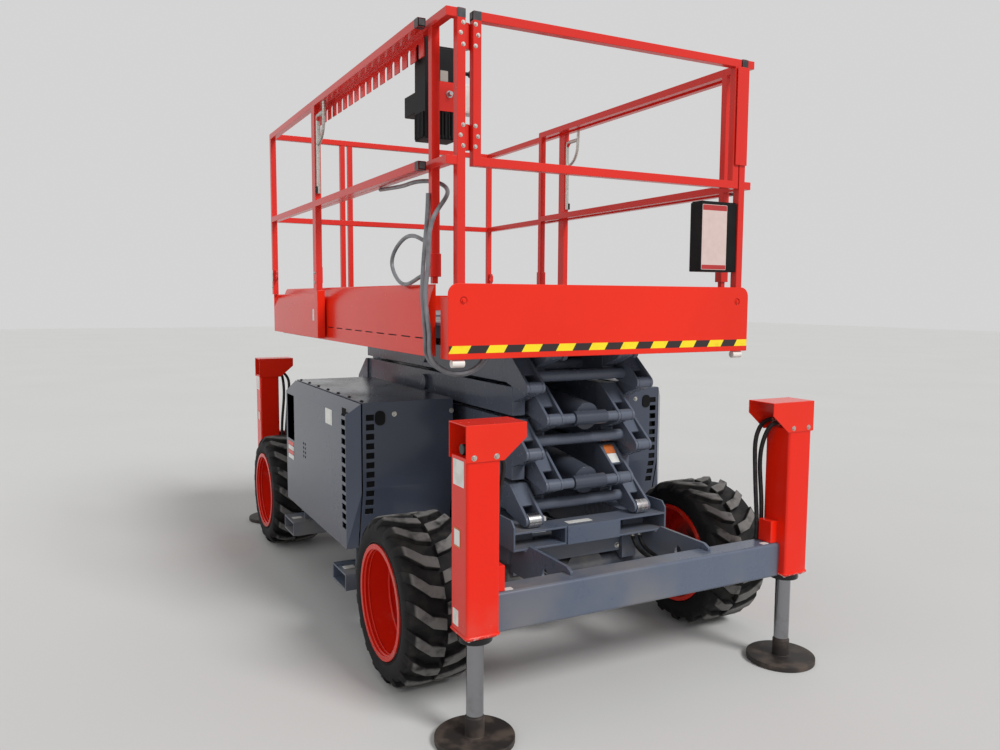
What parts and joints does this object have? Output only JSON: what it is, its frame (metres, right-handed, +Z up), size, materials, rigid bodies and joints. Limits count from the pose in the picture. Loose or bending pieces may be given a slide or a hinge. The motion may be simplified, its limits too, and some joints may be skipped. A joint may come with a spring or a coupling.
{
  "type": "rough-terrain scissor lift with outriggers",
  "caption": "Self-propelled rough-terrain scissor lift with four outrigger jacks, a railed platform, a roll-out deck extension and a rear entry gate.",
  "frame": {"origin": "on the ground below the middle of the machine's overall box", "axes": "+X to the machine's right, +Y towards the extension end, +Z up"},
  "size_m": [1.752, 3.519, 2.53],
  "materials": {
    "outrigger_red": "gloss enamel",
    "rail_red": "gloss enamel",
    "slate": "gloss enamel",
    "tyre": "dusty rubber",
    "rim_red": "gloss enamel",
    "steel": "bright steel",
    "chrome": "hard chrome",
    "black": "matte",
    "white": "satin",
    "hose": "satin",
    "black_hose": "satin",
    "tread": "tread plate"
  },
  "bodies": {
    "chassis": {"chassis_rails": "slate", "cross_members": "slate", "side_trays": "slate", "fork_pockets": "slate", "rear_member": "slate", "side_plates": "slate", "axles": "slate", "outrigger_beams": "slate", "outrigger_legs": "outrigger_red", "leg_caps": "outrigger_red", "leg_hoses": "black_hose", "engine_and_tank": "black", "cover_left": "slate", "cover_right": "slate"},
    "door_left": {"cover_door_left": "slate"},
    "knuckle_left": {"knuckle_left": "slate"},
    "wheel_rear_left": {"tyre_rear_left": "tyre", "rim_rear_left": "rim_red"},
    "ram_rear_left": {"ram_rear_left": "chrome"},
    "wheel_front_left": {"tyre_front_left": "tyre", "rim_front_left": "rim_red"},
    "ram_front_left": {"ram_front_left": "chrome"},
    "door_right": {"cover_door_right": "slate"},
    "knuckle_right": {"knuckle_right": "slate"},
    "wheel_rear_right": {"tyre_rear_right": "tyre", "rim_rear_right": "rim_red"},
    "ram_rear_right": {"ram_rear_right": "chrome"},
    "wheel_front_right": {"tyre_front_right": "tyre", "rim_front_right": "rim_red"},
    "ram_front_right": {"ram_front_right": "chrome"},
    "tie_rod": {"tie_rod": "slate"},
    "inner_arm_1": {"inner_arm_1": "slate"},
    "outer_arm_1": {"outer_arm_1": "slate", "base_rollers": "steel"},
    "inner_arm_2": {"inner_arm_2": "slate"},
    "outer_arm_2": {"outer_arm_2": "slate"},
    "inner_arm_3": {"inner_arm_3": "slate"},
    "outer_arm_3": {"outer_arm_3": "slate"},
    "inner_arm_4": {"inner_arm_4": "slate"},
    "outer_arm_4": {"outer_arm_4": "slate"},
    "inner_arm_5": {"inner_arm_5": "slate"},
    "outer_arm_5": {"outer_arm_5": "slate"},
    "lift_barrel_lower": {"lift_barrel_lower": "slate"},
    "lift_rod_lower": {"lift_rod_lower": "chrome"},
    "lift_barrel_upper": {"lift_barrel_upper": "slate"},
    "lift_rod_upper": {"lift_rod_upper": "chrome"},
    "platform": {"platform_deck": "tread", "side_panels": "outrigger_red", "rear_panel": "outrigger_red", "main_rails": "rail_red", "control_box": "black", "outlet_box": "white", "document_box": "black", "platform_bumpers": "white", "conduits": "hose"},
    "extension": {"extension_deck": "tread", "extension_boards": "outrigger_red", "extension_rails": "rail_red"},
    "gate": {"gate": "rail_red"}
  },
  "joints": [
    {"name": "lift", "type": "hinge", "parent": "chassis", "child": "inner_arm_1", "pos_m": [0, 0.883, 0.623], "axis": [-1, 0, 0], "range_deg": [0, 55]},
    {"name": "inner_fold_2", "type": "hinge", "parent": "inner_arm_1", "child": "inner_arm_2", "pos_m": [0, -1.217, 0.7585], "axis": [1, 0, 0], "range_deg": [0, 110]},
    {"name": "inner_fold_3", "type": "hinge", "parent": "inner_arm_2", "child": "inner_arm_3", "pos_m": [0, 0.883, 0.894], "axis": [-1, 0, 0], "range_deg": [0, 110]},
    {"name": "inner_fold_4", "type": "hinge", "parent": "inner_arm_3", "child": "inner_arm_4", "pos_m": [0, -1.217, 1.0295], "axis": [1, 0, 0], "range_deg": [0, 110]},
    {"name": "inner_fold_5", "type": "hinge", "parent": "inner_arm_4", "child": "inner_arm_5", "pos_m": [0, 0.883, 1.165], "axis": [-1, 0, 0], "range_deg": [0, 110]},
    {"name": "cross_1", "type": "hinge", "parent": "inner_arm_1", "child": "outer_arm_1", "pos_m": [0, -0.167, 0.69075], "axis": [1, 0, 0], "range_deg": [0, 110]},
    {"name": "cross_2", "type": "hinge", "parent": "inner_arm_2", "child": "outer_arm_2", "pos_m": [0, -0.167, 0.82625], "axis": [-1, 0, 0], "range_deg": [0, 110]},
    {"name": "cross_3", "type": "hinge", "parent": "inner_arm_3", "child": "outer_arm_3", "pos_m": [0, -0.167, 0.96175], "axis": [1, 0, 0], "range_deg": [0, 110]},
    {"name": "cross_4", "type": "hinge", "parent": "inner_arm_4", "child": "outer_arm_4", "pos_m": [0, -0.167, 1.09725], "axis": [-1, 0, 0], "range_deg": [0, 110]},
    {"name": "cross_5", "type": "hinge", "parent": "inner_arm_5", "child": "outer_arm_5", "pos_m": [0, -0.167, 1.23275], "axis": [1, 0, 0], "range_deg": [0, 110]},
    {"name": "platform_level", "type": "hinge", "parent": "outer_arm_5", "child": "platform", "pos_m": [0, 0.883, 1.3005], "axis": [-1, 0, 0], "range_deg": [0, 55]},
    {"name": "barrel_lower", "type": "hinge", "parent": "inner_arm_2", "child": "lift_barrel_lower", "pos_m": [0, -1.217, 0.7585], "axis": [1, 0, 0], "range_deg": [0, 9.98]},
    {"name": "rod_lower", "type": "slide", "parent": "lift_barrel_lower", "child": "lift_rod_lower", "axis": [0, 0.9921, 0.1254], "range_m": [0, 1.012]},
    {"name": "barrel_upper", "type": "hinge", "parent": "inner_arm_4", "child": "lift_barrel_upper", "pos_m": [0, -1.217, 1.0295], "axis": [1, 0, 0], "range_deg": [0, 9.98]},
    {"name": "rod_upper", "type": "slide", "parent": "lift_barrel_upper", "child": "lift_rod_upper", "axis": [0, 0.9921, 0.1254], "range_m": [0, 1.012]},
    {"name": "extension_slide", "type": "slide", "parent": "platform", "child": "extension", "axis": [0, 1, 0], "range_m": [0, 1.4]},
    {"name": "gate_hinge", "type": "hinge", "parent": "platform", "child": "gate", "pos_m": [-0.6275, -1.331, 2], "axis": [0, 0, 1], "range_deg": [0, 90]},
    {"name": "door_hinge_left", "type": "hinge", "parent": "chassis", "child": "door_left", "pos_m": [-0.803, 0.502, 0.7], "axis": [0, 0, -1], "range_deg": [0, 100]},
    {"name": "door_hinge_right", "type": "hinge", "parent": "chassis", "child": "door_right", "pos_m": [0.803, 0.502, 0.7], "axis": [0, 0, 1], "range_deg": [0, 100]},
    {"name": "steer_left", "type": "hinge", "parent": "chassis", "child": "knuckle_left", "pos_m": [-0.63, 1.068, 0.332], "axis": [0, 0, 1], "range_deg": [-28, 28]},
    {"name": "steer_right", "type": "hinge", "parent": "chassis", "child": "knuckle_right", "pos_m": [0.63, 1.068, 0.332], "axis": [0, 0, 1], "range_deg": [-28, 28]},
    {"name": "tie_rod_pivot", "type": "hinge", "parent": "knuckle_left", "child": "tie_rod", "pos_m": [-0.63, 1.178, 0.297], "axis": [0, 0, 1], "range_deg": [-28, 28]},
    {"name": "spin_rear_left", "type": "hinge", "parent": "chassis", "child": "wheel_rear_left", "pos_m": [-0.7235, -1.068, 0.332], "axis": [1, 0, 0], "continuous": true},
    {"name": "spin_front_left", "type": "hinge", "parent": "knuckle_left", "child": "wheel_front_left", "pos_m": [-0.7235, 1.068, 0.332], "axis": [1, 0, 0], "continuous": true},
    {"name": "outrigger_rear_left", "type": "slide", "parent": "chassis", "child": "ram_rear_left", "axis": [0, 0, 1], "range_m": [-0.2, 0.26]},
    {"name": "outrigger_front_left", "type": "slide", "parent": "chassis", "child": "ram_front_left", "axis": [0, 0, 1], "range_m": [-0.2, 0.26]},
    {"name": "spin_rear_right", "type": "hinge", "parent": "chassis", "child": "wheel_rear_right", "pos_m": [0.7235, -1.068, 0.332], "axis": [1, 0, 0], "continuous": true},
    {"name": "spin_front_right", "type": "hinge", "parent": "knuckle_right", "child": "wheel_front_right", "pos_m": [0.7235, 1.068, 0.332], "axis": [1, 0, 0], "continuous": true},
    {"name": "outrigger_rear_right", "type": "slide", "parent": "chassis", "child": "ram_rear_right", "axis": [0, 0, 1], "range_m": [-0.2, 0.26]},
    {"name": "outrigger_front_right", "type": "slide", "parent": "chassis", "child": "ram_front_right", "axis": [0, 0, 1], "range_m": [-0.2, 0.26]}
  ],
  "couplings": [
    {"joint": "inner_fold_2", "follows": "lift", "ratio": 2},
    {"joint": "inner_fold_3", "follows": "lift", "ratio": 2},
    {"joint": "inner_fold_4", "follows": "lift", "ratio": 2},
    {"joint": "inner_fold_5", "follows": "lift", "ratio": 2},
    {"joint": "cross_1", "follows": "lift", "ratio": 2},
    {"joint": "cross_2", "follows": "lift", "ratio": 2},
    {"joint": "cross_3", "follows": "lift", "ratio": 2},
    {"joint": "cross_4", "follows": "lift", "ratio": 2},
    {"joint": "cross_5", "follows": "lift", "ratio": 2},
    {"joint": "platform_level", "follows": "lift", "ratio": 1},
    {"joint": "barrel_lower", "follows": "lift", "ratio": 0.18119},
    {"joint": "rod_lower", "follows": "lift", "m_per_rad": 1.0537},
    {"joint": "barrel_upper", "follows": "lift", "ratio": 0.18119},
    {"joint": "rod_upper", "follows": "lift", "m_per_rad": 1.0537},
    {"joint": "steer_right", "follows": "steer_left", "ratio": 1},
    {"joint": "tie_rod_pivot", "follows": "steer_left", "ratio": -1}
  ]
}
